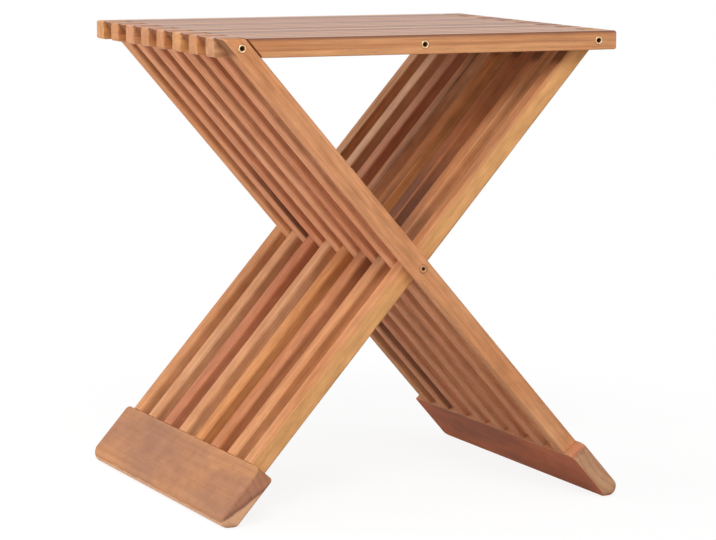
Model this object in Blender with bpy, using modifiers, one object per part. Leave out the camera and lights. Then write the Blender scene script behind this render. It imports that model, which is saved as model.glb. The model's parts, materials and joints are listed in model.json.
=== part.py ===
"""Folding slatted stool in teak, in metres, +Z up, with its origin on the floor under the middle of the seat.

Leg frame A leans from the upper left down to the right, and seat half A hinges on its top.
Frame B and seat half B are the same pieces turned half a turn about the vertical.
Each frame's slats lie in every second plane, so that the frames interleave: a leg slat of one frame
lies in the plane of the other frame's seat slat, whose mitred end stops against it when the seat is flat.
"""

import math

import bmesh
import bpy
from mathutils import Matrix
from mathutils import Vector

# Whole stool
SEAT_HEIGHT = 0.450
TOP_PIVOT_HALF_SPAN = 0.1835
CROSS_PIVOT_HEIGHT = 0.231
SLATS_PER_FRAME = 8

# Slats
SLAT_THICKNESS = 0.020
SLAT_GAP = 0.0008
SEAT_SLAT_HEIGHT = 0.018
SEAT_END_OVERHANG = 0.0195
SEAT_END_RADIUS = 0.003
LEG_SLAT_WIDTH = 0.018
EDGE_EASE = 0.0012
MITRE_GAP = 0.0006

# Foot boards, and the tenons of the leg slats in them
FOOT_THICKNESS = 0.018
FOOT_WIDTH = 0.0570
FOOT_OUTER_OVERHANG = 0.0160
FOOT_INNER_OVERHANG = 0.0222
FOOT_TOE_RADIUS = 0.008
FOOT_LEAST_FLAT = 0.004
FOOT_TOP_CORNER_RADIUS = 0.008
FOOT_BOTTOM_CORNER_RADIUS = 0.008
TENON_THICKNESS = 0.009
TENON_LENGTH = 0.026

# Pivot rods, which are tubes
ROD_RADIUS = 0.004
ROD_WALL = 0.0016

# Clearance between pieces that fit or touch, and how far a cutter reaches past what it cuts
FIT_CLEARANCE = 0.0003
CUT_MARGIN = 0.005

# Facets of round shapes
ROD_SIDES = 20
CORNER_STEPS = 5
SEAT_END_STEPS = 3
ROUND_PROFILE = 0.5
EASED_ANGLE = math.radians(40)

TEAK_LEG_COLOUR = (0.52, 0.25, 0.10, 1.0)
TEAK_SEAT_COLOUR = (0.50, 0.26, 0.12, 1.0)
TEAK_FOOT_COLOUR = (0.46, 0.22, 0.11, 1.0)
TEAK_ROUGHNESS = 0.55
BRASS_COLOUR = (0.72, 0.53, 0.24, 1.0)
BRASS_ROUGHNESS = 0.3

# Layout that follows from the sizes above
SLAT_PITCH = SLAT_THICKNESS + SLAT_GAP
STACK_DEPTH = 2 * SLATS_PER_FRAME * SLAT_PITCH - SLAT_GAP
TOP_PIVOT_HEIGHT = SEAT_HEIGHT - SEAT_SLAT_HEIGHT / 2
TOP_PIVOT_RISE = TOP_PIVOT_HEIGHT - CROSS_PIVOT_HEIGHT
LEG_LEAN = math.atan2(TOP_PIVOT_HALF_SPAN, TOP_PIVOT_RISE)
LEG_PITCH = math.pi / 2 - LEG_LEAN
LEAN_SIN = math.sin(LEG_LEAN)
LEAN_COS = math.cos(LEG_LEAN)
LEAN_TAN = math.tan(LEG_LEAN)
PIVOT_TO_PIVOT = math.hypot(TOP_PIVOT_HALF_SPAN, TOP_PIVOT_RISE)
ROD_HOLE_RADIUS = ROD_RADIUS + FIT_CLEARANCE
ROD_PROUD = (SLAT_GAP - FIT_CLEARANCE) / 2
FRAME_DEPTH = STACK_DEPTH - SLAT_PITCH
FOOT_LENGTH = FRAME_DEPTH + FOOT_OUTER_OVERHANG + FOOT_INNER_OVERHANG
FOOT_SHIFT = (FOOT_INNER_OVERHANG - FOOT_OUTER_OVERHANG) / 2


def height_to_leg(height, across):
    """How far down a leg frame from the cross pivot a line at this offset across it reaches a height."""
    return (CROSS_PIVOT_HEIGHT - height + LEAN_SIN * across) / LEAN_COS


FOOT_HEEL = height_to_leg(0.0, -FOOT_THICKNESS / 2)
FOOT_TOE = height_to_leg(0.0, FOOT_THICKNESS / 2)
FOOT_TOP = FOOT_HEEL - FOOT_WIDTH
TOE_HALF_ANGLE = LEG_PITCH / 2
TOE_RADIUS_LIMIT = (FOOT_THICKNESS / LEAN_COS - FOOT_LEAST_FLAT) * math.tan(TOE_HALF_ANGLE)


def clear_scene():
    for obj in list(bpy.data.objects):
        bpy.data.objects.remove(obj, do_unlink=True)


def new_collection(name):
    collection = bpy.data.collections.new(name)
    bpy.context.scene.collection.children.link(collection)
    return collection


def new_material(name, colour, roughness, metallic=0.0):
    material = bpy.data.materials.new(name)
    material.use_nodes = True
    shader = material.node_tree.nodes["Principled BSDF"]
    shader.inputs["Base Color"].default_value = colour
    shader.inputs["Roughness"].default_value = roughness
    shader.inputs["Metallic"].default_value = metallic
    material.diffuse_color = colour
    return material


def new_part(name, mesh, material, parent=None, location=(0.0, 0.0, 0.0)):
    part = bpy.data.objects.new(name, mesh)
    parts.objects.link(part)
    part.parent = parent
    part.location = location
    if not mesh.materials:
        mesh.materials.append(material)
    return part


def new_cutter(name, mesh, parent=None, location=(0.0, 0.0, 0.0)):
    cutter = bpy.data.objects.new(name, mesh)
    cutters.objects.link(cutter)
    cutter.parent = parent
    cutter.location = location
    cutter.hide_render = True
    cutter.display_type = "WIRE"
    return cutter


def new_pivot(name, location, rotation):
    pivot = bpy.data.objects.new(name, None)
    parts.objects.link(pivot)
    pivot.location = location
    pivot.rotation_euler = rotation
    return pivot


def mesh_from(name, shape):
    mesh = bpy.data.meshes.new(name)
    shape.to_mesh(mesh)
    shape.free()
    return mesh


def cut(part, cutter, operation="DIFFERENCE"):
    boolean = part.modifiers.new(cutter.name, "BOOLEAN")
    boolean.operation = operation
    boolean.solver = "EXACT"
    boolean.object = cutter


def ease_edges(part):
    bevel = part.modifiers.new("eased_edges", "BEVEL")
    bevel.width = EDGE_EASE
    bevel.segments = 1
    bevel.limit_method = "WEIGHT"


def mark_eased_edges(shape):
    """Gives every sharp edge of a bar the weight that its Bevel modifier reads."""
    weight = shape.edges.layers.float.new("bevel_weight_edge")
    for edge in shape.edges:
        if edge.calc_face_angle() > EASED_ANGLE:
            edge[weight] = 1.0
    return weight


def bar(low_end, high_end, height):
    """A bar along X, one slat thick in Y. Each end is its X on the middle line and its slope along Z."""
    shape = bmesh.new()
    bmesh.ops.create_cube(shape, size=1.0)
    for vert in shape.verts:
        middle, slope = high_end if vert.co.x > 0 else low_end
        vert.co.z *= height
        vert.co.y *= SLAT_THICKNESS
        vert.co.x = middle + slope * vert.co.z
    return shape


def leg_slat_mesh():
    """A leg slat in its frame: X runs down the leg from the cross pivot, Z to the side that faces up."""
    top = (height_to_leg(SEAT_HEIGHT, 0.0), LEAN_TAN)
    shoulder = (FOOT_TOP - FIT_CLEARANCE, 0.0)
    shape = bar(top, shoulder, LEG_SLAT_WIDTH)
    weight = mark_eased_edges(shape)
    end = max(shape.faces, key=lambda face: face.calc_center_median().x)
    for edge in end.edges:
        edge[weight] = 0.0
    inset = (LEG_SLAT_WIDTH - TENON_THICKNESS) / 2
    bmesh.ops.inset_region(shape, faces=[end], thickness=inset, use_even_offset=True)
    tenon = bmesh.ops.extrude_face_region(shape, geom=[end])["geom"]
    shape.faces.remove(end)
    tip = [item for item in tenon if isinstance(item, bmesh.types.BMVert)]
    bmesh.ops.translate(shape, verts=tip, vec=(TENON_LENGTH, 0.0, 0.0))
    return mesh_from("leg_slat", shape)


def seat_slat_mesh():
    """A seat slat from its own top pivot: round at the free end, mitred where it meets the other frame."""
    stop = 2 * TOP_PIVOT_HALF_SPAN - (LEG_SLAT_WIDTH / 2 + MITRE_GAP) / LEAN_COS
    shape = bar((-SEAT_END_OVERHANG, 0.0), (stop, LEAN_TAN), SEAT_SLAT_HEIGHT)
    free_end = min(shape.faces, key=lambda face: face.calc_center_median().x)
    corners = [edge for edge in free_end.edges if abs(edge.verts[0].co.z - edge.verts[1].co.z) < EDGE_EASE]
    bmesh.ops.bevel(
        shape,
        geom=corners,
        offset=SEAT_END_RADIUS,
        offset_type="OFFSET",
        segments=SEAT_END_STEPS,
        profile=ROUND_PROFILE,
        affect="EDGES",
    )
    mark_eased_edges(shape)
    return mesh_from("seat_slat", shape)


def rounded_outline(corners):
    """Points of a closed outline whose corners are given as X, Y and radius."""
    points = []
    for index, (x, y, radius) in enumerate(corners):
        corner = Vector((x, y))
        if radius == 0.0:
            points.append(corner)
            continue
        before = (Vector(corners[index - 1][:2]) - corner).normalized()
        after = (Vector(corners[(index + 1) % len(corners)][:2]) - corner).normalized()
        half_angle = before.angle(after) / 2
        centre = corner + (before + after).normalized() * radius / math.sin(half_angle)
        start = corner + before * radius / math.tan(half_angle) - centre
        sweep = math.copysign(math.pi - 2 * half_angle, after.cross(before))
        for step in range(CORNER_STEPS + 1):
            turn = Matrix.Rotation(sweep * step / CORNER_STEPS, 2)
            points.append(centre + turn @ start)
    return points


def outline_mesh(name, corners, thickness):
    """A flat outline in XY, extruded to both sides and made a closed mesh."""
    curve = bpy.data.curves.new(name, "CURVE")
    curve.dimensions = "2D"
    curve.fill_mode = "BOTH"
    curve.extrude = thickness / 2
    points = rounded_outline(corners)
    spline = curve.splines.new("POLY")
    spline.points.add(len(points) - 1)
    for spline_point, point in zip(spline.points, points):
        spline_point.co = (point.x, point.y, 0.0, 1.0)
    spline.use_cyclic_u = True
    drawn = bpy.data.objects.new(name, curve)
    cutters.objects.link(drawn)
    evaluated = drawn.evaluated_get(bpy.context.evaluated_depsgraph_get())
    mesh = bpy.data.meshes.new_from_object(evaluated)
    bpy.data.objects.remove(drawn, do_unlink=True)
    shape = bmesh.new()
    shape.from_mesh(mesh)
    bmesh.ops.remove_doubles(shape, verts=shape.verts, dist=FIT_CLEARANCE / 10)
    shape.to_mesh(mesh)
    shape.free()
    return mesh


def foot_board(name, pivot, material, slat_offsets):
    """A board along Y under its slats, with a flat cut at the floor, a round toe and round face corners.

    The first slat is the one at the outside of the stack.
    """
    middle = (0.0, (slat_offsets[0] + slat_offsets[-1]) / 2 + FOOT_SHIFT, 0.0)
    toe_radius = min(FOOT_TOE_RADIUS, TOE_RADIUS_LIMIT)
    toe_bottom = FOOT_TOE + toe_radius - toe_radius / math.sin(TOE_HALF_ANGLE) * math.cos(TOE_HALF_ANGLE)
    inner = -FOOT_THICKNESS / 2
    outer = FOOT_THICKNESS / 2
    section = [
        (FOOT_TOP - CUT_MARGIN, outer, 0.0),
        (FOOT_TOP - CUT_MARGIN, inner, 0.0),
        (FOOT_HEEL, inner, 0.0),
        (FOOT_TOE, outer, toe_radius),
    ]
    board_mesh = outline_mesh(name, section, FOOT_LENGTH + 2 * CUT_MARGIN)
    board = new_part(name, board_mesh, material, pivot, middle)
    board.rotation_euler.x = math.pi / 2
    half = FOOT_LENGTH / 2
    face = [
        (FOOT_TOP, -half, FOOT_TOP_CORNER_RADIUS),
        (toe_bottom + FIT_CLEARANCE, -half, FOOT_BOTTOM_CORNER_RADIUS),
        (toe_bottom + FIT_CLEARANCE, half, FOOT_BOTTOM_CORNER_RADIUS),
        (FOOT_TOP, half, FOOT_TOP_CORNER_RADIUS),
    ]
    trim_mesh = outline_mesh(name + "_face", face, FOOT_THICKNESS + 2 * CUT_MARGIN)
    cut(board, new_cutter(name + "_face", trim_mesh, pivot, middle), "INTERSECT")
    mortises = bmesh.new()
    tenon_depth = SLAT_THICKNESS - LEG_SLAT_WIDTH + TENON_THICKNESS
    mortise = (
        2 * (TENON_LENGTH + FIT_CLEARANCE),
        tenon_depth + 2 * FIT_CLEARANCE,
        TENON_THICKNESS + 2 * FIT_CLEARANCE,
    )
    for offset in slat_offsets:
        place = Matrix.LocRotScale(Vector((FOOT_TOP, offset, 0.0)), None, Vector(mortise))
        bmesh.ops.create_cube(mortises, size=1.0, matrix=place)
    cut(board, new_cutter(name + "_mortises", mesh_from(name + "_mortises", mortises), pivot))


def rod_hole(name, x, height):
    shape = bmesh.new()
    bmesh.ops.create_cone(
        shape,
        cap_ends=True,
        segments=ROD_SIDES,
        radius1=ROD_HOLE_RADIUS,
        radius2=ROD_HOLE_RADIUS,
        depth=STACK_DEPTH + 2 * CUT_MARGIN,
    )
    cutter = new_cutter(name, mesh_from(name, shape), None, (x, 0.0, height))
    cutter.rotation_euler.x = math.pi / 2
    return cutter


def tube(name, length, material, parent, location):
    """A tube along Y, turned from a section of its wall."""
    bore = ROD_RADIUS - ROD_WALL
    half = length / 2
    section = bmesh.new()
    ring = [
        section.verts.new((radius, 0.0, along))
        for radius, along in ((ROD_RADIUS, half), (ROD_RADIUS, -half), (bore, -half), (bore, half))
    ]
    for index, vert in enumerate(ring):
        section.edges.new((vert, ring[(index + 1) % len(ring)]))
    rod = new_part(name, mesh_from(name, section), material, parent, location)
    rod.rotation_euler.x = math.pi / 2
    turned = rod.modifiers.new("turned", "SCREW")
    turned.axis = "Z"
    turned.steps = ROD_SIDES
    turned.render_steps = ROD_SIDES
    turned.use_merge_vertices = True
    turned.merge_threshold = FIT_CLEARANCE / 10
    turned.use_smooth_shade = True


def plane_offsets(first_plane):
    """Where along Y the slats of one frame lie, in every second plane from the first one given."""
    front = -STACK_DEPTH / 2 + SLAT_THICKNESS / 2
    return [front + SLAT_PITCH * (first_plane + 2 * index) for index in range(SLATS_PER_FRAME)]


def front_to_back(turn):
    """Numbers of a frame's slats, counted from the front also where the frame is turned round."""
    numbers = range(1, SLATS_PER_FRAME + 1)
    return numbers if turn == 0.0 else reversed(numbers)


def build_half(letter, turn, own_hole, leg_mesh, seat_mesh, holes, materials):
    """One leg frame with its foot board, and the seat half that hinges on it, turned about the vertical."""
    side = -math.cos(turn)
    leg_pivot = new_pivot(f"leg_{letter}_pivot", (0.0, 0.0, CROSS_PIVOT_HEIGHT), (0.0, LEG_PITCH, turn))
    top_place = (side * TOP_PIVOT_HALF_SPAN, 0.0, TOP_PIVOT_HEIGHT)
    seat_pivot = new_pivot(f"seat_{letter}_pivot", top_place, (0.0, 0.0, turn))
    leg_offsets = plane_offsets(0)
    seat_offsets = plane_offsets(1)
    for number, offset in zip(front_to_back(turn), leg_offsets):
        name = f"leg_{letter}_slat_{number}"
        slat = new_part(name, leg_mesh, materials["leg"], leg_pivot, (0.0, offset, 0.0))
        ease_edges(slat)
        cut(slat, holes[own_hole])
        cut(slat, holes["cross"])
    for number, offset in zip(front_to_back(turn), seat_offsets):
        name = f"seat_{letter}_slat_{number}"
        slat = new_part(name, seat_mesh, materials["seat"], seat_pivot, (0.0, offset, 0.0))
        ease_edges(slat)
        cut(slat, holes[own_hole])
        cut(slat, holes["middle"])
        middle = (TOP_PIVOT_HALF_SPAN, offset, 0.0)
        section = f"middle_rod_{letter}_section_{number}"
        tube(section, SLAT_THICKNESS + 2 * ROD_PROUD, materials["rod"], seat_pivot, middle)
    foot_board(f"foot_board_{letter}", leg_pivot, materials["foot"], leg_offsets)
    tube(f"seat_rod_{letter}", STACK_DEPTH + 2 * ROD_PROUD, materials["rod"], None, top_place)


clear_scene()
parts = new_collection("folding_stool")
cutters = new_collection("folding_stool_cutters")
stool_materials = {
    "leg": new_material("teak_legs", TEAK_LEG_COLOUR, TEAK_ROUGHNESS),
    "seat": new_material("teak_seat", TEAK_SEAT_COLOUR, TEAK_ROUGHNESS),
    "foot": new_material("teak_feet", TEAK_FOOT_COLOUR, TEAK_ROUGHNESS),
    "rod": new_material("brass_rods", BRASS_COLOUR, BRASS_ROUGHNESS, 1.0),
}
rod_holes = {
    "cross": rod_hole("cross_rod_hole", 0.0, CROSS_PIVOT_HEIGHT),
    "middle": rod_hole("middle_rod_hole", 0.0, TOP_PIVOT_HEIGHT),
    "left": rod_hole("left_rod_hole", -TOP_PIVOT_HALF_SPAN, TOP_PIVOT_HEIGHT),
    "right": rod_hole("right_rod_hole", TOP_PIVOT_HALF_SPAN, TOP_PIVOT_HEIGHT),
}
leg_mesh_shared = leg_slat_mesh()
seat_mesh_shared = seat_slat_mesh()
build_half("a", 0.0, "left", leg_mesh_shared, seat_mesh_shared, rod_holes, stool_materials)
build_half("b", math.pi, "right", leg_mesh_shared, seat_mesh_shared, rod_holes, stool_materials)
cross_place = (0.0, 0.0, CROSS_PIVOT_HEIGHT)
tube("cross_rod", STACK_DEPTH + 2 * ROD_PROUD, stool_materials["rod"], None, cross_place)
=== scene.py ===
"""Looks of a folding teak stool: finer wood and brass pieces over its solids, in a plain studio."""

import json
import math
import random
from typing import NamedTuple

import bmesh
import bpy
from mathutils import Matrix
from mathutils import Vector


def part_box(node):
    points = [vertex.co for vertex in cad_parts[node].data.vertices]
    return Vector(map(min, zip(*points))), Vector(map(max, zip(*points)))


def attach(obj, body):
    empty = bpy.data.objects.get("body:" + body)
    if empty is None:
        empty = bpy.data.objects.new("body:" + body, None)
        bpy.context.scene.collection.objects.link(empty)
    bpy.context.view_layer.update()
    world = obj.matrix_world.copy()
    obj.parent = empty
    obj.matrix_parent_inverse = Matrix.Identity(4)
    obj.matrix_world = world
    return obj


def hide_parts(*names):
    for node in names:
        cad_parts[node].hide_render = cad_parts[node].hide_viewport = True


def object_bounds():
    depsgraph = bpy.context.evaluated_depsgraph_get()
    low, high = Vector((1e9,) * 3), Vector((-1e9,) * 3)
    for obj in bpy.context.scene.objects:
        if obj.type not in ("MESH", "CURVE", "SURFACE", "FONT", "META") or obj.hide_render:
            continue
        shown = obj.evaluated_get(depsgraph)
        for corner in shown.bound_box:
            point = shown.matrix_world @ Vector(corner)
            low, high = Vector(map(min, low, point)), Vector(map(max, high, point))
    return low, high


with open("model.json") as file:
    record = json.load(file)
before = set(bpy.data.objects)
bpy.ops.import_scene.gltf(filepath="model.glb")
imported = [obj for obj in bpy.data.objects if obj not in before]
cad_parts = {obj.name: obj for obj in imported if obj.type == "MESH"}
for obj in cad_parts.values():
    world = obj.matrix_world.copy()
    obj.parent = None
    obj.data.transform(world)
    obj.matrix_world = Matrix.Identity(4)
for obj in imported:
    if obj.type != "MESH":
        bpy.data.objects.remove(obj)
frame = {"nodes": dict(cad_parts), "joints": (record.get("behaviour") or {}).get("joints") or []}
cad_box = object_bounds()

# Sizes of the solids, in metres, that the frame doesn't state
LEG_SLAT_WIDTH = 0.018
SEAT_END_OVERHANG = 0.0195
FOOT_THICKNESS = 0.018
FOOT_WIDTH = 0.0570
FOOT_TOE_RADIUS = 0.008
FOOT_TOP_CORNER_RADIUS = 0.008
FOOT_BOTTOM_CORNER_RADIUS = 0.008
TENON_THICKNESS = 0.009
TENON_LENGTH = 0.026
ROD_RADIUS = 0.004
FIT_CLEARANCE = 0.0003
MITRE_GAP = 0.0006

# Finer forms than the solids have
LEG_EDGE_RADIUS = 0.0028
SEAT_EDGE_RADIUS = 0.0010
SEAT_END_RADIUS = 0.0025
FOOT_EDGE_RADIUS = 0.0020
FOOT_SHOULDER_RADIUS = 0.0004
TUBE_BORE = 0.00235
CROSS_TUBE_BORE = 0.0016
TUBE_LIP = 0.0007
TUBE_PROUD = 0.0005
EDGE_STEPS = 4
CORNER_STEPS = 8
BOARD_END_STEPS = 12
LIP_STEPS = 8
TUBE_SIDES = 48
ROUND_PROFILE = 0.5
SHARP_ANGLE = math.radians(40)

# Places that the frame gives
PIVOTS = {joint["name"]: Vector(joint["pos_m"]) for joint in frame["joints"]}
CROSS = PIVOTS["leg_fold"]
TOPS = {"a": PIVOTS["seat_a_fold"], "b": PIVOTS["seat_b_fold"]}
TURNS = {"a": 0.0, "b": math.pi}
SEAT_HEIGHT = cad_box[1].z
HALF_SPAN = TOPS["b"].x
SLATS_PER_FRAME = sum(name.startswith("leg_a_slat_") for name in frame["nodes"])
LEG_LEAN = math.atan2(HALF_SPAN, TOPS["a"].z - CROSS.z)
LEG_PITCH = math.pi / 2 - LEG_LEAN
LEAN_SIN = math.sin(LEG_LEAN)
LEAN_COS = math.cos(LEG_LEAN)
LEAN_TAN = math.tan(LEG_LEAN)
PIVOT_TO_PIVOT = math.hypot(HALF_SPAN, TOPS["a"].z - CROSS.z)


def extent(node, axis):
    low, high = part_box(node)
    return getattr(high, axis) - getattr(low, axis)


def middle_y(node):
    low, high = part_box(node)
    return (low.y + high.y) / 2


def height_to_leg(height, across):
    """How far down a leg from the cross pivot a line at this offset across it is at this height."""
    return (CROSS.z - height + LEAN_SIN * across) / LEAN_COS


SLAT_THICKNESS = extent("leg_a_slat_1", "y")
SEAT_SLAT_HEIGHT = extent("seat_a_slat_1", "z")
FOOT_LENGTH = extent("foot_board_a", "y")
FOOT_TOP = height_to_leg(0.0, -FOOT_THICKNESS / 2) - FOOT_WIDTH
FOOT_MIDDLE = FOOT_TOP + FOOT_WIDTH / 2

# Half of each piece's size along its wood's Y and Z, which lie across the grain
LEG_HALF_SIZES = (SLAT_THICKNESS / 2, LEG_SLAT_WIDTH / 2)
SEAT_HALF_SIZES = (SLAT_THICKNESS / 2, SEAT_SLAT_HEIGHT / 2)
FOOT_HALF_SIZES = (FOOT_WIDTH / 2, FOOT_THICKNESS / 2)


# Meshes

def mesh_from(name, shape):
    bmesh.ops.recalc_face_normals(shape, faces=shape.faces)
    mesh = bpy.data.meshes.new(name)
    shape.to_mesh(mesh)
    shape.free()
    return mesh


def rings_mesh(name, rings, closed):
    """A skin over rings of points. Closed, its last ring joins the first, and open, it has two caps."""
    shape = bmesh.new()
    loops = [[shape.verts.new(point) for point in ring] for ring in rings]
    count = len(loops[0])
    followers = loops[1:] + loops[:1] if closed else loops[1:]
    for loop, following in zip(loops, followers):
        for index in range(count):
            after = (index + 1) % count
            shape.faces.new((loop[index], loop[after], following[after], following[index]))
    if not closed:
        shape.faces.new(loops[0])
        shape.faces.new(loops[-1])
    return mesh_from(name, shape)


def cut_mesh(mesh, cutters):
    """The mesh with every cutter mesh taken out of it."""
    blank = bpy.data.objects.new(mesh.name, mesh)
    bpy.context.scene.collection.objects.link(blank)
    tools = []
    for cutter in cutters:
        tool = bpy.data.objects.new(cutter.name, cutter)
        bpy.context.scene.collection.objects.link(tool)
        boolean = blank.modifiers.new(cutter.name, "BOOLEAN")
        boolean.solver = "EXACT"
        boolean.object = tool
        tools.append(tool)
    evaluated = blank.evaluated_get(bpy.context.evaluated_depsgraph_get())
    result = bpy.data.meshes.new_from_object(evaluated)
    for thing in [blank, *tools]:
        bpy.data.objects.remove(thing, do_unlink=True)
    result.name = mesh.name
    return result


def rounded_outline(corners):
    """Points of a closed outline whose corners are given as X, Y and radius."""
    points = []
    for index, (x, y, radius) in enumerate(corners):
        corner = Vector((x, y))
        before = (Vector(corners[index - 1][:2]) - corner).normalized()
        after = (Vector(corners[(index + 1) % len(corners)][:2]) - corner).normalized()
        half_angle = before.angle(after) / 2
        centre = corner + (before + after).normalized() * radius / math.sin(half_angle)
        start = corner + before * radius / math.tan(half_angle) - centre
        sweep = math.copysign(math.pi - 2 * half_angle, after.cross(before))
        for step in range(CORNER_STEPS + 1):
            points.append(centre + Matrix.Rotation(sweep * step / CORNER_STEPS, 2) @ start)
    return points


def circle_directions():
    """Cosine and sine of even angles, once round a tube."""
    angles = [2 * math.pi * side / TUBE_SIDES for side in range(TUBE_SIDES)]
    return [(math.cos(angle), math.sin(angle)) for angle in angles]


def hole_cutter(x):
    """A round bar along Y for a rod's hole at this X."""
    radius = ROD_RADIUS + FIT_CLEARANCE
    circle = [(x + radius * cosine, radius * sine) for cosine, sine in circle_directions()]
    rings = []
    for y in (-SLAT_THICKNESS, SLAT_THICKNESS):
        rings.append([(across, y, up) for across, up in circle])
    return rings_mesh("rod_hole", rings, False)


def bar(low_end, high_end, height):
    """A bar along X, one slat thick in Y. An end is its X on the middle line and its slope along Z."""
    shape = bmesh.new()
    bmesh.ops.create_cube(shape, size=1.0)
    for vert in shape.verts:
        middle, slope = high_end if vert.co.x > 0 else low_end
        vert.co.z *= height
        vert.co.y *= SLAT_THICKNESS
        vert.co.x = middle + slope * vert.co.z
    return shape


def round_edges(shape, edges, radius, steps):
    bmesh.ops.bevel(
        shape,
        geom=edges,
        offset=radius,
        offset_type="OFFSET",
        segments=steps,
        profile=ROUND_PROFILE,
        affect="EDGES",
    )


def leg_slat_mesh():
    """A leg slat: X runs down from the cross pivot, Z to the upper side, with a tenon at the foot."""
    top = (height_to_leg(SEAT_HEIGHT, 0.0), LEAN_TAN)
    shoulder = (FOOT_TOP - FIT_CLEARANCE, 0.0)
    shape = bar(top, shoulder, LEG_SLAT_WIDTH)
    end = max(shape.faces, key=lambda face: face.calc_center_median().x)
    eased = [edge for edge in shape.edges if edge not in end.edges]
    inset = (LEG_SLAT_WIDTH - TENON_THICKNESS) / 2
    bmesh.ops.inset_region(shape, faces=[end], thickness=inset, use_even_offset=True)
    tenon = bmesh.ops.extrude_face_region(shape, geom=[end])["geom"]
    shape.faces.remove(end)
    tip = [item for item in tenon if isinstance(item, bmesh.types.BMVert)]
    bmesh.ops.translate(shape, verts=tip, vec=(TENON_LENGTH, 0.0, 0.0))
    round_edges(shape, eased, LEG_EDGE_RADIUS, EDGE_STEPS)
    holes = [hole_cutter(0.0), hole_cutter(-PIVOT_TO_PIVOT)]
    return cut_mesh(mesh_from("leg_slat", shape), holes)


def is_level(edge):
    first, second = edge.verts
    return abs(first.co.z - second.co.z) < FIT_CLEARANCE


def seat_slat_mesh():
    """A seat slat from its own top pivot: a round free end, and a mitre that stops on the other legs."""
    stop = 2 * HALF_SPAN - (LEG_SLAT_WIDTH / 2 + MITRE_GAP) / LEAN_COS
    shape = bar((-SEAT_END_OVERHANG, 0.0), (stop, LEAN_TAN), SEAT_SLAT_HEIGHT)
    free_end = min(shape.faces, key=lambda face: face.calc_center_median().x)
    corners = [edge for edge in free_end.edges if is_level(edge)]
    round_edges(shape, corners, SEAT_END_RADIUS, CORNER_STEPS)
    sharp = [edge for edge in shape.edges if edge.calc_face_angle() > SHARP_ANGLE]
    round_edges(shape, sharp, SEAT_EDGE_RADIUS, EDGE_STEPS)
    holes = [hole_cutter(0.0), hole_cutter(HALF_SPAN)]
    return cut_mesh(mesh_from("seat_slat", shape), holes)


def board_section(inset):
    """Section of a foot board in X and Z, drawn in all round: a top edge, a heel and a round toe."""
    outer = FOOT_THICKNESS / 2 - inset
    edge = FOOT_EDGE_RADIUS + FIT_CLEARANCE - inset
    return rounded_outline([
        (FOOT_TOP + inset, outer, FOOT_SHOULDER_RADIUS),
        (FOOT_TOP + inset, -outer, FOOT_SHOULDER_RADIUS),
        (height_to_leg(inset, -outer), -outer, edge),
        (height_to_leg(inset, outer), outer, FOOT_TOE_RADIUS - inset),
    ])


def corner_drop(radius, from_end):
    """How far a round corner falls back, at this distance from the end that it rounds."""
    reach = max(radius - from_end, 0.0)
    return radius - math.sqrt(radius * radius - reach * reach)


def board_ring(y):
    """The board's section at this Y, drawn in and shortened near the board's ends."""
    from_end = FOOT_LENGTH / 2 - abs(y)
    inset = corner_drop(FOOT_EDGE_RADIUS, from_end)
    top_drop = corner_drop(FOOT_TOP_CORNER_RADIUS, from_end) - inset
    bottom_drop = corner_drop(FOOT_BOTTOM_CORNER_RADIUS, from_end) - inset
    section = board_section(inset)
    low = min(point.x for point in section)
    reach = max(point.x for point in section) - low
    ring = []
    for point in section:
        share = (point.x - low) / reach
        ring.append((point.x + top_drop * (1 - share) - bottom_drop * share, y, point.y))
    return ring


def board_mesh(slat_offsets):
    """A foot board along Y: rings of its section between round ends, with a mortise for each slat."""
    angles = [math.pi / 2 * step / BOARD_END_STEPS for step in range(BOARD_END_STEPS + 1)]
    ends = [FOOT_LENGTH / 2 - FOOT_BOTTOM_CORNER_RADIUS * (1 - math.sin(angle)) for angle in angles]
    stations = [-y for y in reversed(ends)] + ends
    blank = rings_mesh("foot_board", [board_ring(y) for y in stations], False)
    tenon_depth = SLAT_THICKNESS - LEG_SLAT_WIDTH + TENON_THICKNESS
    mortise = Vector((
        2 * (TENON_LENGTH + FIT_CLEARANCE),
        tenon_depth + 2 * FIT_CLEARANCE,
        TENON_THICKNESS + 2 * FIT_CLEARANCE,
    ))
    pockets = bmesh.new()
    for offset in slat_offsets:
        place = Matrix.LocRotScale(Vector((FOOT_TOP, offset, 0.0)), None, mortise)
        bmesh.ops.create_cube(pockets, size=1.0, matrix=place)
    mesh = cut_mesh(blank, [mesh_from("mortises", pockets)])
    mesh.transform(Matrix.Translation((-FOOT_MIDDLE, 0.0, 0.0)))
    return mesh


def tube_mesh(length, bore):
    """A brass tube along Y with a rolled lip at both ends. Its bore's faces take the second material, a
    painted shade.
    """
    wall_middle = (ROD_RADIUS + bore) / 2
    wall_half = (ROD_RADIUS - bore) / 2
    profile = []
    for end in (1, -1):
        for step in range(LIP_STEPS + 1):
            angle = math.pi * step / LIP_STEPS
            radius = wall_middle - end * wall_half * math.cos(angle)
            profile.append((radius, end * (length / 2 - TUBE_LIP + TUBE_LIP * math.sin(angle))))
    rings = []
    for cosine, sine in circle_directions():
        rings.append([(radius * cosine, y, radius * sine) for radius, y in profile])
    mesh = rings_mesh("tube", rings, True)
    for face in mesh.polygons:
        if math.hypot(face.center.x, face.center.z) < bore:
            face.material_index = 1
    return mesh


# Shader nodes

class Grain(NamedTuple):
    """Noise drawn out along the grain: features a metre along it and across it, and its detail."""
    along: float
    across: float
    detail: float


def add_node(tree, kind, settings, inputs):
    """A new shader node. An input is given as a value, or as the socket that feeds it."""
    made = tree.nodes.new("ShaderNode" + kind)
    for name, value in settings.items():
        setattr(made, name, value)
    for name, value in inputs.items():
        if isinstance(value, bpy.types.NodeSocket):
            tree.links.new(value, made.inputs[name])
        else:
            made.inputs[name].default_value = value
    return made


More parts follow.
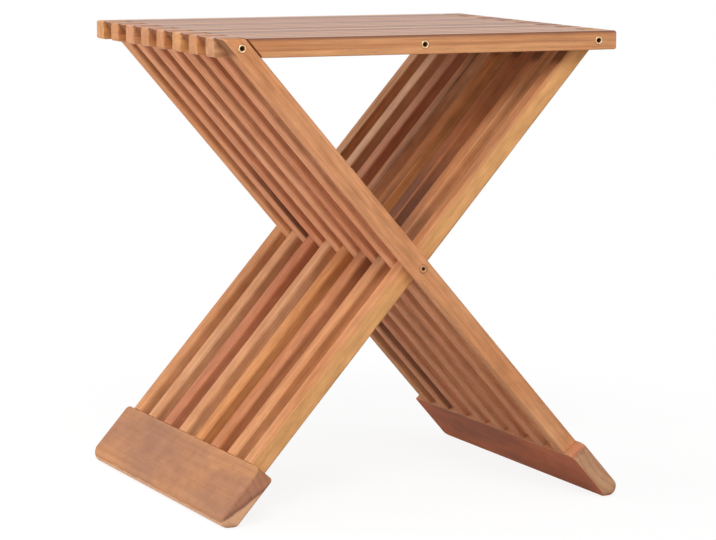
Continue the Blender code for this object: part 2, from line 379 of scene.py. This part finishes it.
def calculate(tree, operation, first, second=0.0):
    return add_node(tree, "Math", {"operation": operation}, {0: first, 1: second}).outputs[0]


def scale_and_add(tree, value, scale, added):
    """The value times a scale, plus a number or another value."""
    settings = {"operation": "MULTIPLY_ADD"}
    return add_node(tree, "Math", settings, {0: value, 1: scale, 2: added}).outputs[0]


def ramp(tree, value, low, high):
    """0 below low and 1 above high, with a smooth step between them."""
    settings = {"interpolation_type": "SMOOTHSTEP"}
    inputs = {"Value": value, "From Min": low, "From Max": high}
    return add_node(tree, "MapRange", settings, inputs).outputs[0]


# Which of a mix node's sockets take its two colours and give the mixed one
MIX_FIRST = 6
MIX_SECOND = 7
MIX_RESULT = 2


def mix(tree, factor, first, second, blend="MIX"):
    settings = {"data_type": "RGBA", "blend_type": blend}
    inputs = {0: factor, MIX_FIRST: first, MIX_SECOND: second}
    return add_node(tree, "Mix", settings, inputs).outputs[MIX_RESULT]


def overlay(tree, under, colour, where, strength):
    """A colour laid over another one as strongly as given, where a mask is 1."""
    return mix(tree, calculate(tree, "MULTIPLY", where, strength), under, colour)


def moved(tree, place, shift):
    return add_node(tree, "VectorMath", {"operation": "ADD"}, {0: place, 1: shift}).outputs[0]


def grain_noise(tree, place, grain):
    """Noise that is drawn out along X."""
    scale = (grain.along, grain.across, grain.across)
    scaled = add_node(tree, "VectorMath", {"operation": "MULTIPLY"}, {0: place, 1: scale}).outputs[0]
    inputs = {"Vector": scaled, "Scale": 1.0, "Detail": grain.detail}
    return add_node(tree, "TexNoise", {}, inputs).outputs["Fac"]


def new_material(name):
    material = bpy.data.materials.new(name)
    material.use_nodes = True
    return material


BUMP_DEPTH = 0.00025


def link_surface(tree, colour, roughness, relief, bump_strength):
    """Give a material's shader its colour, its roughness and a fine relief, and return the shader."""
    inputs = {"Strength": bump_strength, "Distance": BUMP_DEPTH, "Height": relief}
    bump = add_node(tree, "Bump", {}, inputs)
    shader = tree.nodes["Principled BSDF"]
    tree.links.new(colour, shader.inputs["Base Color"])
    tree.links.new(roughness, shader.inputs["Roughness"])
    tree.links.new(bump.outputs[0], shader.inputs["Normal"])
    return shader


# Teak. Its axes are X along the grain, and Y and Z across it, where Z looks out of the upper face

GRAIN_AXIS = 0
SIDE_AXIS = 1
UPPER_AXIS = 2
SIDES = (SIDE_AXIS,)
SLANTS = (UPPER_AXIS,)
ALL_ROUND = (SIDE_AXIS, UPPER_AXIS)


class Edges(NamedTuple):
    """Another colour along a piece's long edges, or along its upper ones alone. On the legs and boards it
    is wear; on the seat's upper edges it is painted shade of the gaps between the slats.
    """
    colour: tuple
    width: float
    strength: float
    upper_only: bool = False


class Sapwood(NamedTuple):
    """Pale wood below a border: how the border leans to Z and to Y, its level, and how far it wanders."""
    colour: tuple
    strength: float
    lean_to_top: float
    lean_up: float
    level: float
    wander: float


class Mark(NamedTuple):
    """A darker or lighter length in one colour, mostly painted shade or painted sheen. Its faces are the
    axes that they look along, either way.
    """
    faces: tuple
    colour: tuple
    strength: float
    start: float
    end: float


class Figure(NamedTuple):
    """Figure of a piece's wood. Single numbers are strengths, apart from the roughness and the gloss."""
    along: str
    tints: tuple
    patches: Grain
    bands: float
    streaks: float
    stains: float
    mottle: Grain
    mottle_share: float
    mottle_shade: tuple
    fibres: float
    end_colour: tuple
    end_share: float
    edges: Edges
    roughness: float
    fibre_roughness: float
    end_roughness: float
    gloss: float
    # strength of the painted shade near the top of a leg slat
    painted_hinge_shade: float = 0.0
    marks: tuple = ()
    sapwood: Sapwood | None = None


# Tones of the wood as linear colours, and what late wood makes of them
TONES = {
    "golden": (0.680, 0.335, 0.130),
    "wheat": (0.675, 0.322, 0.148),
    "amber": (0.590, 0.286, 0.128),
    "pale": (0.590, 0.298, 0.146),
    "honey": (0.570, 0.262, 0.114),
    "tan": (0.590, 0.256, 0.102),
    "fawn": (0.675, 0.310, 0.158),
    "copper": (0.610, 0.260, 0.130),
    "orange": (0.540, 0.230, 0.082),
    "russet": (0.480, 0.190, 0.080),
    "rose": (0.480, 0.186, 0.090),
    "umber": (0.410, 0.160, 0.080),
    "sienna": (0.540, 0.188, 0.088),
    "walnut": (0.340, 0.128, 0.064),
    "mauve": (0.414, 0.204, 0.103),
}
LATE_WOOD = (0.72, 0.62, 0.54)

PORE_COLOUR = (0.20, 0.075, 0.035, 1)
# Real stains in the grain, and painted shade in the marks on single slats and a foot board
STAIN_AND_SHADE_COLOUR = (0.15, 0.062, 0.04, 1)
# Painted sheen on the upper faces of single leg slats
PAINTED_SHEEN_COLOUR = (0.80, 0.54, 0.36, 1)
WORN_COLOUR = (0.72, 0.40, 0.20, 1)
WORN_TOE_COLOUR = (0.72, 0.35, 0.145, 1)
# Painted shade of the gaps between the seat slats, along their upper edges
PAINTED_GAP_SHADE_COLOUR = (0.16, 0.055, 0.03, 1)
# Painted shade near the legs' tops, between and under the seat slats
HINGE_SHADE_COLOUR = (0.13, 0.052, 0.026, 1)
SLAT_END_COLOUR = (0.44, 0.200, 0.085, 1)
BOARD_A_END_COLOUR = (0.58, 0.360, 0.205, 1)
BOARD_B_END_COLOUR = (0.46, 0.215, 0.130, 1)
BOARD_A_SAPWOOD = (0.60, 0.315, 0.165, 1)
BOARD_B_SAPWOOD = (0.76, 0.44, 0.25, 1)
LEG_SAPWOOD = (0.72, 0.374, 0.150, 1)
HEART_EDGE_COLOUR = (0.20, 0.085, 0.055, 1)
SLAT_MOTTLE_SHADE = (0.66, 0.62, 0.58, 1)
BOARD_MOTTLE_SHADE = (0.66, 0.58, 0.62, 1)
MOTTLE_LIGHT = (1.34, 1.36, 1.38, 1)
FIBRE_SHADE = (0.70, 0.67, 0.64, 1)
FIBRE_LIGHT = (1.28, 1.29, 1.30, 1)

# What all the wood has in common: its noises, and between which values of them each feature comes in
RING_WANDERING = Grain(2.2, 9.0, 2.0)
STREAKS = Grain(1.8, 220.0, 4.0)
STAINS = Grain(6.0, 90.0, 3.0)
FIBRES = Grain(14.0, 900.0, 3.0)
PORES = Grain(90.0, 2600.0, 1.0)
MARKS = Grain(4.0, 40.0, 3.0)
BAND_STEP = (0.40, 0.70)
STREAK_STEP = (0.46, 0.68)
PATCH_STEP = (0.30, 0.70)
STAIN_STEP = (0.62, 0.76)
PORE_STEP = (0.64, 0.76)
MARK_STEP = (0.28, 0.56)
FACING_STEP = (0.6, 0.95)
RING_WIDTH = 0.0046
RING_WANDER = 0.020
RING_DETAIL = 3.0
PITH_NEAR = 0.03
PITH_FAR = 0.11
SHIFT_RANGE = 9.0
END_BANDS = 0.32
PORE_STRENGTH = 0.38
FIBRE_RELIEF = 0.5
WOOD_BUMP = 0.35
SAPWOOD_FADE = 0.0030
HEART_EDGE = 0.006
HEART_EDGE_SHARE = 0.75
MARK_FADE = 0.05
# How far the painted shade near the legs' tops reaches, leans and fades
HINGE_SHADE_REACH = 0.038
HINGE_SHADE_RUN = 2.0
HINGE_SHADE_FADE = 0.012

LEG_FIGURE = Figure(
    along="X",
    tints=((1.06, 1.12, 1.22), (0.93, 0.84, 0.80)),
    patches=Grain(7.0, 60.0, 4.0),
    bands=0.32,
    streaks=0.36,
    stains=0.32,
    mottle=Grain(45.0, 130.0, 5.0),
    mottle_share=1.0,
    mottle_shade=SLAT_MOTTLE_SHADE,
    fibres=0.9,
    end_colour=SLAT_END_COLOUR,
    end_share=0.30,
    edges=Edges(WORN_COLOUR, width=0.0022, strength=0.10),
    roughness=0.62,
    fibre_roughness=0.20,
    end_roughness=-0.40,
    gloss=0.16,
    # painted shade near the tops, between and under the seat slats
    painted_hinge_shade=0.75,
)
SEAT_FIGURE = Figure(
    along="X",
    tints=((1.09, 1.18, 1.24), (0.91, 0.78, 0.62)),
    patches=Grain(6.0, 70.0, 4.0),
    bands=0.55,
    streaks=0.85,
    stains=0.25,
    mottle=Grain(25.0, 180.0, 5.0),
    mottle_share=0.8,
    mottle_shade=SLAT_MOTTLE_SHADE,
    fibres=1.0,
    end_colour=SLAT_END_COLOUR,
    end_share=0.55,
    # The upper edges carry painted shade of the gaps between the seat slats
    edges=Edges(PAINTED_GAP_SHADE_COLOUR, width=0.0036, strength=0.95, upper_only=True),
    roughness=0.22,
    fibre_roughness=0.30,
    end_roughness=0.40,
    gloss=0.45,
)
FOOT_A_FIGURE = Figure(
    along="Y",
    tints=((1.16, 1.04, 0.94), (0.76, 0.66, 0.66)),
    patches=Grain(9.0, 20.0, 4.0),
    bands=0.22,
    streaks=0.10,
    stains=0.20,
    mottle=Grain(60.0, 80.0, 5.0),
    mottle_share=0.65,
    mottle_shade=BOARD_MOTTLE_SHADE,
    fibres=0.40,
    end_colour=BOARD_A_END_COLOUR,
    end_share=0.85,
    edges=Edges(WORN_COLOUR, width=0.0040, strength=0.12),
    roughness=0.62,
    fibre_roughness=0.20,
    end_roughness=0.15,
    gloss=0.15,
    # Painted shade over part of the board's broad faces
    marks=(Mark(SLANTS, STAIN_AND_SHADE_COLOUR, 0.55, start=-0.03, end=0.13),),
    sapwood=Sapwood(
        BOARD_A_SAPWOOD, 0.65, lean_to_top=0.0, lean_up=-1.0, level=-0.0265, wander=0.012,
    ),
)
FOOT_B_FIGURE = FOOT_A_FIGURE._replace(
    tints=((1.16, 1.12, 0.96), (0.84, 0.84, 0.96)),
    end_colour=BOARD_B_END_COLOUR,
    end_share=0.80,
    edges=Edges(WORN_TOE_COLOUR, width=0.0040, strength=0.10),
    marks=(),
    sapwood=Sapwood(
        BOARD_B_SAPWOOD, 0.90, lean_to_top=1.0, lean_up=0.30, level=-0.0046, wander=0.005,
    ),
)


def grain_frame(tree, along):
    """Object place and normal, turned so that X runs along the grain."""
    local = add_node(tree, "TexCoord", {}, {})
    place = local.outputs["Object"]
    facing = local.outputs["Normal"]
    if along == "Y":
        turn = {"rotation_type": "Z_AXIS"}
        angle = {"Angle": -math.pi / 2}
        place = add_node(tree, "VectorRotate", turn, {"Vector": place, **angle}).outputs[0]
        facing = add_node(tree, "VectorRotate", turn, {"Vector": facing, **angle}).outputs[0]
    return place, facing


def flat_on(tree, facing, axis):
    """1 on faces that look along this axis, either way, and 0 on the others."""
    towards = add_node(tree, "SeparateXYZ", {}, {0: facing}).outputs[axis]
    return ramp(tree, calculate(tree, "ABSOLUTE", towards), *FACING_STEP)


def growth_bands(tree, grown, y, z, chance):
    """Dark late wood between growth rings, which lie about a pith outside the piece."""
    pith_angle = chance.uniform(0, 2 * math.pi)
    pith_distance = chance.uniform(PITH_NEAR, PITH_FAR)
    pith = (pith_distance * math.cos(pith_angle), pith_distance * math.sin(pith_angle))
    squares = []
    for axis, at in zip((y, z), pith):
        squares.append(calculate(tree, "POWER", calculate(tree, "SUBTRACT", axis, at), 2.0))
    radius = calculate(tree, "SQRT", calculate(tree, "ADD", *squares))
    wander = grain_noise(tree, grown, RING_WANDERING)
    distance = scale_and_add(tree, wander, RING_WANDER, radius)
    turns = calculate(tree, "DIVIDE", distance, RING_WIDTH)
    start = calculate(tree, "ADD", turns, chance.uniform(0, SHIFT_RANGE))
    inputs = {"W": start, "Scale": 1.0, "Detail": RING_DETAIL}
    bands = add_node(tree, "TexNoise", {"noise_dimensions": "1D"}, inputs)
    return ramp(tree, bands.outputs["Fac"], *BAND_STEP)


def tinted(tone, tint):
    return (*[colour * share for colour, share in zip(TONES[tone], tint)], 1.0)


def grown_wood(tree, grown, dark_bands, end_grain, tone, figure):
    """Colour of the wood as it grew: patches, growth bands, dark streaks, stains and end grain."""
    early, drift, late = [tinted(tone, tint) for tint in (*figure.tints, LATE_WOOD)]
    patches = ramp(tree, grain_noise(tree, grown, figure.patches), *PATCH_STEP)
    streaks = ramp(tree, grain_noise(tree, grown, STREAKS), *STREAK_STEP)
    stains = ramp(tree, grain_noise(tree, grown, STAINS), *STAIN_STEP)
    wood = mix(tree, patches, early, drift)
    wood = overlay(tree, wood, late, dark_bands, figure.bands)
    wood = overlay(tree, wood, late, streaks, figure.streaks)
    wood = overlay(tree, wood, STAIN_AND_SHADE_COLOUR, stains, figure.stains)
    wood = overlay(tree, wood, figure.end_colour, end_grain, figure.end_share)
    end_rings = calculate(tree, "MULTIPLY", end_grain, dark_bands)
    return overlay(tree, wood, late, end_rings, END_BANDS)


def add_sapwood(tree, wood, y, z, waver, end_grain, sapwood):
    """Pale sapwood beyond a wavering border, with darker heartwood along it that shows on the ends."""
    place = calculate(tree, "MULTIPLY", y, sapwood.lean_up)
    place = scale_and_add(tree, z, sapwood.lean_to_top, place)
    place = scale_and_add(tree, waver, sapwood.wander, place)
    border = sapwood.level + sapwood.wander / 2
    heart = ramp(tree, place, border - SAPWOOD_FADE / 2, border + SAPWOOD_FADE / 2)
    deep = ramp(tree, place, border, border + HEART_EDGE)
    dark = calculate(tree, "MULTIPLY", calculate(tree, "SUBTRACT", heart, deep), end_grain)
    wood = overlay(tree, wood, HEART_EDGE_COLOUR, dark, HEART_EDGE_SHARE)
    pale = scale_and_add(tree, heart, -sapwood.strength, sapwood.strength)
    return mix(tree, pale, wood, sapwood.colour)


def add_mark(tree, wood, grown, x, facing, mark):
    """A darker or lighter length, in spots that are drawn out along the grain."""
    spots = ramp(tree, grain_noise(tree, grown, MARKS), *MARK_STEP)
    begun = ramp(tree, x, mark.start - MARK_FADE, mark.start + MARK_FADE)
    ended = ramp(tree, x, mark.end - MARK_FADE, mark.end + MARK_FADE)
    shape = calculate(tree, "MULTIPLY", spots, calculate(tree, "SUBTRACT", begun, ended))
    for axis in mark.faces:
        where = calculate(tree, "MULTIPLY", shape, flat_on(tree, facing, axis))
        wood = overlay(tree, wood, mark.colour, where, mark.strength)
    return wood


def painted_hinge_shade(tree, x, z, facing):
    """Painted shade: where a leg slat's upper and under face darken near its top, between and under the
    seat slats, further down on the upper one.
    """
    top = height_to_leg(SEAT_HEIGHT, 0.0)
    place = scale_and_add(tree, z, -HINGE_SHADE_RUN, x)
    below = ramp(tree, place, top + HINGE_SHADE_REACH - HINGE_SHADE_FADE, top + HINGE_SHADE_REACH)
    above = calculate(tree, "SUBTRACT", 1.0, below)
    return calculate(tree, "MULTIPLY", flat_on(tree, facing, UPPER_AXIS), above)


def add_texture(tree, wood, mottle, fibres, pores, figure):
    """Mottle and fibres shade the wood, and pores darken it."""
    mottle_shade = mix(tree, mottle, figure.mottle_shade, MOTTLE_LIGHT)
    wood = mix(tree, figure.mottle_share, wood, mottle_shade, "MULTIPLY")
    fibre_shade = mix(tree, fibres, FIBRE_SHADE, FIBRE_LIGHT)
    wood = mix(tree, figure.fibres, wood, fibre_shade, "MULTIPLY")
    return overlay(tree, wood, PORE_COLOUR, pores, PORE_STRENGTH)


def colour_edges(tree, wood, y, z, half_sizes, edges):
    """Another colour where a place is near both a side and the upper or under face."""
    up = z if edges.upper_only else calculate(tree, "ABSOLUTE", z)
    near = []
    for reach, half_size in zip((calculate(tree, "ABSOLUTE", y), up), half_sizes):
        near.append(ramp(tree, reach, half_size - edges.width, half_size))
    return overlay(tree, wood, edges.colour, calculate(tree, "MULTIPLY", *near), edges.strength)


def teak(name, tone, seed, figure, half_sizes):
    """Teak of one tone and figure. The seed sets where in the tree the piece was cut."""
    chance = random.Random(seed)
    material = new_material(name)
    tree = material.node_tree
    place, facing = grain_frame(tree, figure.along)
    x, y, z = add_node(tree, "SeparateXYZ", {}, {0: place}).outputs
    grown = moved(tree, place, [chance.uniform(-SHIFT_RANGE, SHIFT_RANGE) for _ in range(3)])

    dark_bands = growth_bands(tree, grown, y, z, chance)
    mottle = grain_noise(tree, grown, figure.mottle)
    fibres = grain_noise(tree, grown, FIBRES)
    pores = ramp(tree, grain_noise(tree, grown, PORES), *PORE_STEP)
    end_grain = flat_on(tree, facing, GRAIN_AXIS)

    wood = grown_wood(tree, grown, dark_bands, end_grain, tone, figure)
    if figure.sapwood:
        wood = add_sapwood(tree, wood, y, z, mottle, end_grain, figure.sapwood)
    for mark in figure.marks:
        wood = add_mark(tree, wood, grown, x, facing, mark)
    # Painted shade near the top of a leg slat, between and under the seat slats
    if figure.painted_hinge_shade:
        hinge_shade_mask = painted_hinge_shade(tree, x, z, facing)
        wood = overlay(tree, wood, HINGE_SHADE_COLOUR, hinge_shade_mask, figure.painted_hinge_shade)
    wood = add_texture(tree, wood, mottle, fibres, pores, figure)
    wood = colour_edges(tree, wood, y, z, half_sizes, figure.edges)

    rough = scale_and_add(tree, fibres, figure.fibre_roughness, figure.roughness)
    rough = scale_and_add(tree, end_grain, figure.end_roughness, rough)
    raised = calculate(tree, "MULTIPLY", fibres, FIBRE_RELIEF)
    relief = calculate(tree, "SUBTRACT", raised, pores)
    shader = link_surface(tree, wood, rough, relief, WOOD_BUMP)
    shader.inputs["Specular IOR Level"].default_value = figure.gloss
    return material


# Brass

class Metal(NamedTuple):
    """Brass where it is bright and where a film dulls it, its least roughness, and its noises' shift."""
    bright: tuple
    dull: tuple
    roughness: float
    shift: float


METALS = {
    "brass": Metal((0.78, 0.55, 0.32, 1), (0.56, 0.36, 0.20, 1), roughness=0.34, shift=1.7),
    "dull_brass": Metal((0.50, 0.27, 0.14, 1), (0.40, 0.20, 0.095, 1), roughness=0.5, shift=5.3),
    # Painted shade for the inside of the bores
    "bore_shade": Metal((0.10, 0.04, 0.015, 1), (0.06, 0.024, 0.01, 1), roughness=0.6, shift=8.1),
}
FILM = Grain(420.0, 420.0, 3.0)
FILM_STEP = (0.38, 0.72)
SCRATCHES = Grain(4200.0, 700.0, 2.0)
SCRATCH_ROUGHNESS = 0.25
SCRATCH_BUMP = 0.2


def brass(name):
    """Drawn brass: fine scratches, and a dull film in patches."""
    metal = METALS[name]
    material = new_material(name)
    tree = material.node_tree
    place = add_node(tree, "TexCoord", {}, {}).outputs["Object"]
    place = moved(tree, place, (metal.shift, 0.0, -metal.shift))
    film = ramp(tree, grain_noise(tree, place, FILM), *FILM_STEP)
    scratches = grain_noise(tree, place, SCRATCHES)
    colour = mix(tree, film, metal.bright, metal.dull)
    rough = scale_and_add(tree, scratches, SCRATCH_ROUGHNESS, metal.roughness)
    shader = link_surface(tree, colour, rough, scratches, SCRATCH_BUMP)
    shader.inputs["Metallic"].default_value = 1.0
    return material


# Pieces

LEG_TONES = {
    "a": ("wheat", "fawn", "copper", "fawn", "fawn", "copper", "fawn", "wheat"),
    "b": ("honey", "honey", "russet", "orange", "pale", "rose", "pale", "amber"),
}
SEAT_TONES = {
    "a": ("pale", "tan", "golden", "tan", "honey", "fawn", "tan", "golden"),
    "b": ("tan", "fawn", "walnut", "walnut", "honey", "umber", "tan", "walnut"),
}
FOOT_TONES = {"a": "sienna", "b": "mauve"}
FOOT_FIGURES = {"a": FOOT_A_FIGURE, "b": FOOT_B_FIGURE}
SEEDS = {"leg_a": 100, "leg_b": 200, "seat_a": 300, "seat_b": 400, "foot_a": 500, "foot_b": 600}

# What single leg slats show. A mark starts and ends at places down the leg from the cross pivot
LEG_MARKS = {
    # Painted shade on the side faces in the gaps between leg A's far slats
    "leg_a_slat_7": [Mark(SIDES, STAIN_AND_SHADE_COLOUR, 0.76, start=-0.10, end=0.35)],
    "leg_a_slat_8": [Mark(SIDES, STAIN_AND_SHADE_COLOUR, 0.40, start=0.12, end=0.35)],
    # Painted shade near the crossing, and in leg_b_slat_3's gap below it
    "leg_b_slat_2": [Mark(ALL_ROUND, STAIN_AND_SHADE_COLOUR, 0.85, start=-0.05, end=0.0)],
    "leg_b_slat_3": [
        Mark(ALL_ROUND, STAIN_AND_SHADE_COLOUR, 0.88, start=-0.11, end=0.0),
        Mark(SIDES, STAIN_AND_SHADE_COLOUR, 0.30, start=0.0, end=0.20),
    ],
    "leg_b_slat_4": [Mark(SLANTS, STAIN_AND_SHADE_COLOUR, 0.65, start=-0.11, end=0.0)],
    # leg_b_slat_5 is darker along the upper half of its upper face
    "leg_b_slat_5": [Mark(SLANTS, STAIN_AND_SHADE_COLOUR, 0.95, start=-0.40, end=-0.05)],
    # Painted sheen on the upper halves of the upper faces of leg_b_slat_6 to 8
    "leg_b_slat_6": [Mark(SLANTS, PAINTED_SHEEN_COLOUR, 0.25, start=-0.40, end=-0.05)],
    "leg_b_slat_7": [Mark(SLANTS, PAINTED_SHEEN_COLOUR, 0.60, start=-0.40, end=-0.05)],
    "leg_b_slat_8": [Mark(SLANTS, PAINTED_SHEEN_COLOUR, 0.60, start=-0.40, end=-0.05)],
}
LEG_SAPWOODS = {
    "leg_b_slat_1": Sapwood(
        LEG_SAPWOOD, 0.92, lean_to_top=1.0, lean_up=0.0, level=0.0070, wander=0.004,
    ),
}


def leg_place(letter, y):
    turn = Matrix.Rotation(TURNS[letter], 4, "Z") @ Matrix.Rotation(LEG_PITCH, 4, "Y")
    return Matrix.Translation((CROSS.x, y, CROSS.z)) @ turn


def seat_place(letter, y, along=0.0):
    top = TOPS[letter]
    turn = Matrix.Rotation(TURNS[letter], 4, "Z")
    return Matrix.Translation((top.x, y, top.z)) @ turn @ Matrix.Translation((along, 0.0, 0.0))


def add_piece(node_name, mesh, place, body, materials):
    """A finer piece that stands for a CAD node and rides on its body."""
    mesh = mesh.copy()
    mesh.materials.clear()
    for material in materials:
        mesh.materials.append(material)
    mesh.shade_smooth()
    mesh.set_sharp_from_angle(angle=SHARP_ANGLE)
    piece = bpy.data.objects.new("fine_" + node_name, mesh)
    bpy.context.scene.collection.objects.link(piece)
    piece.matrix_world = place
    even = piece.modifiers.new("even_shading", "WEIGHTED_NORMAL")
    even.keep_sharp = True
    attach(piece, body)
    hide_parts(node_name)


def build_slats(letter, leg_mesh, seat_mesh):
    leg_body = "leg_frame_" + letter
    seat_body = "seat_half_" + letter
    for index in range(SLATS_PER_FRAME):
        leg = f"leg_{letter}_slat_{index + 1}"
        marks = tuple(LEG_MARKS.get(leg, ()))
        figure = LEG_FIGURE._replace(marks=marks, sapwood=LEG_SAPWOODS.get(leg))
        tone = LEG_TONES[letter][index]
        wood = teak(leg, tone, SEEDS["leg_" + letter] + index, figure, LEG_HALF_SIZES)
        place = leg_place(letter, middle_y(leg))
        add_piece(leg, leg_mesh, place, leg_body, [wood])

        seat = f"seat_{letter}_slat_{index + 1}"
        tone = SEAT_TONES[letter][index]
        wood = teak(seat, tone, SEEDS["seat_" + letter] + index, SEAT_FIGURE, SEAT_HALF_SIZES)
        place = seat_place(letter, middle_y(seat))
        add_piece(seat, seat_mesh, place, seat_body, [wood])


def build_board(letter):
    board = "foot_board_" + letter
    side = math.cos(TURNS[letter])
    middle = middle_y(board)
    slats = [f"leg_{letter}_slat_{index + 1}" for index in range(SLATS_PER_FRAME)]
    mesh = board_mesh([side * (middle_y(slat) - middle) for slat in slats])
    seed = SEEDS["foot_" + letter]
    wood = teak(board, FOOT_TONES[letter], seed, FOOT_FIGURES[letter], FOOT_HALF_SIZES)
    place = leg_place(letter, middle) @ Matrix.Translation((FOOT_MIDDLE, 0.0, 0.0))
    add_piece(board, mesh, place, "leg_frame_" + letter, [wood])


def build_rods():
    bore_shade_metal = brass("bore_shade")
    metals = [brass("brass"), bore_shade_metal]
    cross_metals = [brass("dull_brass"), bore_shade_metal]
    long_tube = tube_mesh(extent("seat_rod_a", "y") + 2 * TUBE_PROUD, TUBE_BORE)
    cross_tube = tube_mesh(extent("cross_rod", "y") + 2 * TUBE_PROUD, CROSS_TUBE_BORE)
    short_tube = tube_mesh(extent("middle_rod_a_section_1", "y"), TUBE_BORE)
    cross_place = Matrix.Translation(CROSS)
    add_piece("cross_rod", cross_tube, cross_place, "leg_frame_a", cross_metals)
    for letter in "ab":
        rod = "seat_rod_" + letter
        place = seat_place(letter, 0.0)
        add_piece(rod, long_tube, place, "leg_frame_" + letter, metals)
        for index in range(SLATS_PER_FRAME):
            section = f"middle_rod_{letter}_section_{index + 1}"
            place = seat_place(letter, middle_y(section), HALF_SPAN)
            add_piece(section, short_tube, place, "seat_half_" + letter, metals)


def build_stool():
    leg_mesh = leg_slat_mesh()
    seat_mesh = seat_slat_mesh()
    for letter in "ab":
        build_slats(letter, leg_mesh, seat_mesh)
        build_board(letter)
    build_rods()


# Studio

class Lamp(NamedTuple):
    """A soft lamp: where it hangs, its size and its power."""
    place: tuple
    width: float
    height: float
    power: float


CAMERA_PLACE = (-1.2196, -2.6648, 0.6142)
CAMERA_HEADING = math.radians(-24.753)
CAMERA_PITCH = math.radians(-7.874)
CAMERA_ROLL = math.radians(0.305)
CAMERA_LENS = 150.78
SENSOR_WIDTH = 36.0
LAMPS = {
    "left": Lamp((-2.6, 0.0, 0.27), 0.45, 0.5, power=25.0),
    "back_left": Lamp((-1.9, 1.9, 1.20), 1.2, 1.2, power=29.0),
    "front_high": Lamp((-0.98, -2.15, 2.18), 1.2, 1.2, power=49.0),
    "front_left": Lamp((-1.7, -1.9, 0.45), 0.8, 0.6, power=4.0),
    "front_right": Lamp((1.7, -2.8, 1.30), 1.4, 1.4, power=14.0),
}
LAMP_TARGET = Vector((0.0, 0.0, 0.22))
WHITE = (1, 1, 1, 1)
WHITE_STRENGTH = 1.0
SOFT_LIGHT_COLOUR = (1.0, 0.98, 0.96, 1)
SOFT_LIGHT_STRENGTH = 0.35
FLOOR_HALF_SIZE = 4.0
FLOOR_SEGMENTS = 8
FLOOR_DROP = 0.0004
FLOOR_COLOUR = (0.52, 0.52, 0.52, 1)
FLOOR_SHADOW_COLOUR = (0.16, 0.16, 0.16, 1)
FLOOR_GLOW = 0.87
FLOOR_FADE_START = 0.35
FLOOR_FADE_END = 0.80


def build_camera():
    data = bpy.data.cameras.new("camera")
    data.lens = CAMERA_LENS
    data.sensor_width = SENSOR_WIDTH
    camera = bpy.data.objects.new("camera", data)
    bpy.context.scene.collection.objects.link(camera)
    heading = Matrix.Rotation(CAMERA_HEADING, 4, "Z")
    pitch = Matrix.Rotation(math.pi / 2 + CAMERA_PITCH, 4, "X")
    roll = Matrix.Rotation(CAMERA_ROLL, 4, "Z")
    camera.matrix_world = Matrix.Translation(CAMERA_PLACE) @ heading @ pitch @ roll
    bpy.context.scene.camera = camera


def seen_directly(tree):
    """1 for rays that show the background itself: straight to the camera, mirrored or through glass."""
    path = add_node(tree, "LightPath", {}, {})
    seen = calculate(tree, "MAXIMUM", path.outputs["Is Camera Ray"], path.outputs["Is Glossy Ray"])
    return calculate(tree, "MAXIMUM", seen, path.outputs["Is Transmission Ray"])


def mix_shaders(tree, factor, first, second):
    inputs = {0: factor, 1: first.outputs[0], 2: second.outputs[0]}
    return add_node(tree, "MixShader", {}, inputs)


def floor_material():
    """A pale floor. It is seen as white that keeps the stool's shadow, and further off as plain white."""
    material = new_material("pale_floor")
    tree = material.node_tree
    tree.nodes.clear()
    lit = add_node(tree, "BsdfDiffuse", {}, {"Color": FLOOR_COLOUR})
    shaded = add_node(tree, "BsdfDiffuse", {}, {"Color": FLOOR_SHADOW_COLOUR})
    glow = add_node(tree, "Emission", {}, {"Color": WHITE, "Strength": FLOOR_GLOW})
    near = add_node(tree, "AddShader", {}, {0: shaded.outputs[0], 1: glow.outputs[0]})
    white = add_node(tree, "Emission", {}, {"Color": WHITE, "Strength": WHITE_STRENGTH})
    place = add_node(tree, "TexCoord", {}, {}).outputs["Object"]
    length = add_node(tree, "VectorMath", {"operation": "LENGTH"}, {0: place})
    far = ramp(tree, length.outputs["Value"], FLOOR_FADE_START, FLOOR_FADE_END)
    seen = mix_shaders(tree, far, near, white)
    surface = mix_shaders(tree, seen_directly(tree), lit, seen)
    add_node(tree, "OutputMaterial", {}, {"Surface": surface.outputs[0]})
    return material


def build_floor():
    shape = bmesh.new()
    segments = {"x_segments": FLOOR_SEGMENTS, "y_segments": FLOOR_SEGMENTS}
    bmesh.ops.create_grid(shape, size=FLOOR_HALF_SIZE, **segments)
    floor = bpy.data.objects.new("floor", mesh_from("floor", shape))
    bpy.context.scene.collection.objects.link(floor)
    floor.location.z = -FLOOR_DROP
    floor.data.materials.append(floor_material())


def build_world():
    world = bpy.data.worlds.new("studio")
    bpy.context.scene.world = world
    world.use_nodes = True
    tree = world.node_tree
    tree.nodes.clear()
    soft_light = {"Color": SOFT_LIGHT_COLOUR, "Strength": SOFT_LIGHT_STRENGTH}
    soft = add_node(tree, "Background", {}, soft_light)
    white = add_node(tree, "Background", {}, {"Color": WHITE, "Strength": WHITE_STRENGTH})
    surface = mix_shaders(tree, seen_directly(tree), soft, white)
    add_node(tree, "OutputWorld", {}, {"Surface": surface.outputs[0]})


def build_lamps():
    for name, lamp in LAMPS.items():
        data = bpy.data.lights.new(name, "AREA")
        data.shape = "RECTANGLE"
        data.size = lamp.width
        data.size_y = lamp.height
        data.energy = lamp.power
        light = bpy.data.objects.new(name, data)
        bpy.context.scene.collection.objects.link(light)
        light.location = lamp.place
        light.rotation_mode = "QUATERNION"
        light.rotation_quaternion = (LAMP_TARGET - Vector(lamp.place)).to_track_quat("-Z", "Y")


build_stool()
build_camera()
build_floor()
build_world()
build_lamps()
bpy.context.scene.view_settings.view_transform = "Standard"
